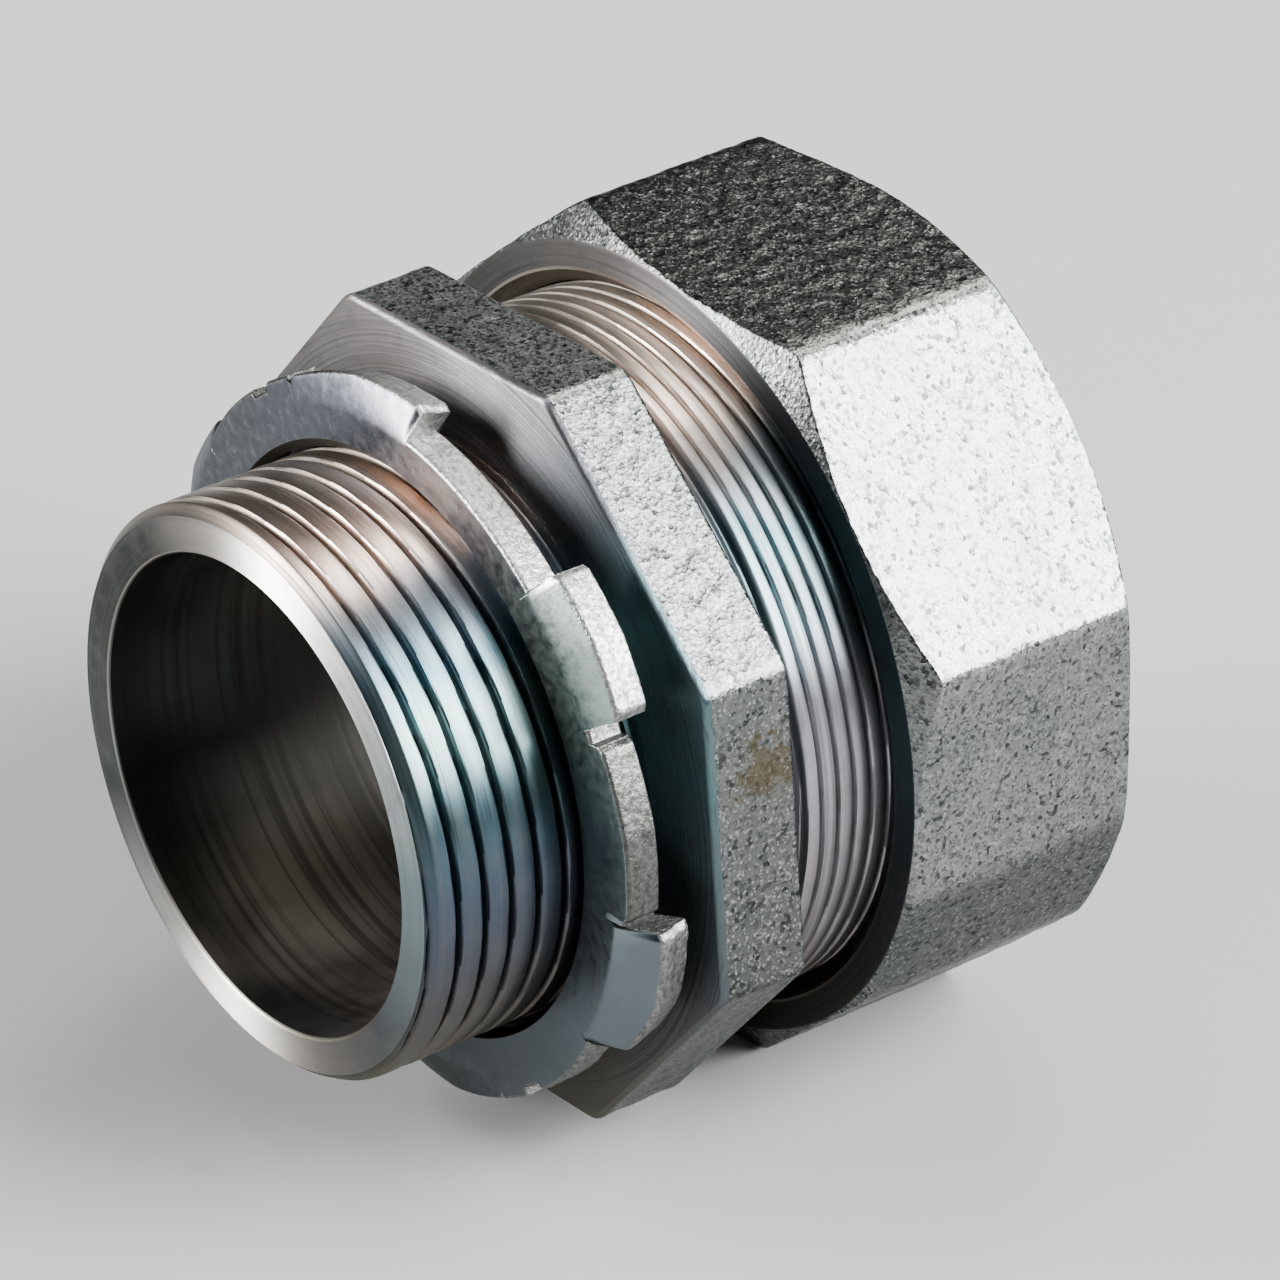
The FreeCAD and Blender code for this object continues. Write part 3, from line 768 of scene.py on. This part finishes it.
# ---------------------------------------------------------------- locknut
# Half of its rim, from clock angle to clock angle: outer radius at the start, middle and end, the
# radius where it starts to bend, how far back its tip is bent at the start and the end, and the lean
# of its sheared edge in degrees.  The other half repeats it, half a turn on.
RIM = (
    (-31.0, 1.0, (26.4, 27.1, 27.0), 24.4, (0.1, 1.4), 16.0),
    (1.0, 35.5, (24.9, 25.0, 25.2), 24.4, (0.0, 0.0), 0.0),
    (35.5, 58.2, (27.8, 28.4, 28.2), 24.8, (1.1, 0.9), 2.0),
    (58.2, 60.8, (25.4, 25.4, 25.4), 24.4, (0.0, 0.0), 0.0),
    (60.8, 89.6, (26.5, 27.1, 26.9), 24.4, (0.0, 0.0), 0.0),
    (89.6, 91.2, (26.0, 26.0, 26.0), 24.4, (0.4, 0.4), 0.0),
    (91.2, 117.5, (28.2, 28.7, 27.6), 25.4, (2.2, 2.0), 13.0),
    (117.5, 137.0, (26.0, 26.2, 26.2), 24.4, (0.0, 0.0), 0.0),
    (137.0, 142.0, (25.7, 25.7, 25.7), 24.4, (0.0, 0.0), 0.0),
    (142.0, 149.0, (26.3, 26.3, 26.4), 24.4, (0.0, 0.0), 0.0),
)


def rim_points():
    """The rim, as rows: clock angle, radius, where the bend starts, how far back its tip is, lean."""
    shear = 0.2             # clock angle that a sheared end leans over
    rounding = 1.4          # clock angle over which a lug's corner is rounded off
    points = []
    for half in (0.0, 180.0):
        for start, end, radii, bend, back, lean in RIM:
            count = max(6, int((end - start) * 2))
            steps = np.cos(np.linspace(0, math.pi, count))
            turn = (start + end - (end - start - 2 * shear) * steps) / 2
            rim = np.interp(turn, [start, (start + end) / 2, end], radii)
            if radii[1] > LUG:
                rim -= 0.4 * (1 - ease(0, rounding, np.minimum(turn - start, end - turn)))
            tip = np.interp(turn, [start, end], back)
            stretch = np.broadcast_arrays(turn + half, rim, bend, tip, math.radians(lean))
            points.append(np.stack(stretch))
    return np.hstack(points)


def locknut():
    clock, rim, crease, back, lean = rim_points()
    soft = 0.3              # rounding of the stamped side's edge
    skin = Skin(clock)

    def layer(radius, depth, finish):
        """Points at a depth under the bent front face, square to it."""
        reach = np.clip(radius - crease, 0, None) / (rim - crease)
        moved = back * reach ** 1.3
        cosine, sine = np.cos(lean * reach), np.sin(lean * reach)
        skin.add(radius - depth * sine, LOCK_FRONT + moved + depth * cosine, finish)

    # front face, rounded edge, sheared rim, rear face, threaded bore
    share = np.linspace(0, 1, 30)[:, None]
    layer(LOCK_FRONT_HOLE + share * (rim - soft - LOCK_FRONT_HOLE), 0.0, "stamped")
    corner = np.radians(np.linspace(15, 90, 5))[:, None]
    layer(rim - soft + soft * np.sin(corner), soft - soft * np.cos(corner), "edge")
    depth = np.linspace(0.4, LOCK_THICK - 0.1, 14)[:, None]
    torn = lumps(0.05, 0.7, 3, rim, clock, depth) - 0.06 * ease(0.9, 1.4, depth)
    layer(rim + torn, depth, "edge")
    share = np.linspace(1, 0, 24)[:, None]
    layer(LOCK_REAR_HOLE + share * (rim - 0.12 - LOCK_REAR_HOLE), LOCK_THICK, "stamped")
    along = rows(np.linspace(LOCK_FRONT + LOCK_THICK - 0.4, LOCK_FRONT + 0.8, 16), clock)
    root = NOSE + CLEARANCE + FEMALE_DEPTH
    cut = thread(clock, along, NOSE_PITCH, FEMALE_DEPTH)
    skin.add(root - np.minimum(cut, FEMALE_DEPTH), along, "turned")
    nut = skin.build("stamped_locknut")

    # the sheared ends of the lugs, which face round the axis
    mesh = nut.data
    mesh.materials.append(FINISHES["edge"])
    for face in mesh.polygons:
        across = Vector((face.center.z, 0, -face.center.x)).normalized()
        if abs(face.normal.dot(across)) > 0.6:
            face.material_index = len(mesh.materials) - 1
    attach(nut, "locknut")
    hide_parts("locknut")


connector_body()
gland_nut()
split_ring()
locknut()


# ---------------------------------------------------------------- floor, light and camera
def floor():
    look = Finish("pale_floor")
    colour = look.ramp(look.noise(0.004, 2.0, 0.5), (
        (0.3, (0.29, 0.29, 0.29)), (0.7, (0.31, 0.31, 0.31)),
    ))
    mesh = bpy.data.meshes.new("pale_floor")
    half = 3.0              # metres
    corners = ((-half, -half), (half, -half), (half, half), (-half, half))
    mesh.from_pydata([(x, y, FLOOR * MM) for x, y in corners], [], [(0, 1, 2, 3)])
    mesh.materials.append(look.finish(colour, 0.75, metallic=0.0))
    item = in_scene("pale_floor", mesh)


def softbox(name, towards, distance, size, radiance, colour=(1, 1, 1)):
    """An area light that stands in the given direction and faces the object, in metres."""
    light = bpy.data.lights.new(name, "AREA")
    light.shape = "RECTANGLE"
    light.size, light.size_y = size
    light.energy = math.pi * size[0] * size[1] * radiance
    light.color = colour
    item = in_scene(name, light)
    place = Vector(towards).normalized() * distance
    item.location = place
    item.rotation_euler = place.to_track_quat("Z", "Y").to_euler()


def camera():
    """At the photograph's view: azimuth and elevation over a level axis, then a roll about that axis."""
    azimuth, elevation, roll = math.radians(53.26), math.radians(31.95), math.radians(-3.0)
    unit = 30.41 * MM       # the flange's corner radius, in which the next three distances are given
    aside, above, away = 0.874, 0.3538, 19.73
    level = math.cos(elevation)
    right = Vector((math.cos(azimuth), math.sin(azimuth), 0))
    forward = Vector((-math.sin(azimuth) * level, math.cos(azimuth) * level, -math.sin(elevation)))
    up = right.cross(forward)
    turn = Matrix.Rotation(roll, 3, "Y")
    right, forward, up = turn @ right, turn @ forward, turn @ up
    mouth = Vector((0, MOUTH * MM, 0))
    place = mouth + (aside * right + above * up - away * forward) * unit
    data = bpy.data.cameras.new("camera")
    data.sensor_width = 36.0
    data.lens = 246.7
    data.clip_start = 0.01
    item = in_scene("camera", data)
    item.matrix_world = Matrix((
        (right.x, up.x, -forward.x, place.x),
        (right.y, up.y, -forward.y, place.y),
        (right.z, up.z, -forward.z, place.z),
        (0, 0, 0, 1),
    ))
    bpy.context.scene.camera = item


def world():
    sky = bpy.data.worlds.new("studio")
    sky.use_nodes = True
    background = sky.node_tree.nodes["Background"]
    background.inputs["Color"].default_value = (0.9, 0.95, 1.0, 1)
    background.inputs["Strength"].default_value = 0.10
    bpy.context.scene.world = sky


floor()
softbox("key", (0.62, 0.51, 0.60), 0.8, (0.52, 0.6), 36.0)
softbox("overhead", (-0.15, 0.1, 1.0), 1.0, (0.5, 0.5), 4.0)
softbox("low_left", (-0.58, -0.77, 0.27), 0.9, (0.30, 0.5), 72.0)
softbox("strip", (-0.295, 0.51, 0.81), 0.8, (0.19, 0.4), 13.0, (1.0, 0.93, 0.86))
world()
camera()
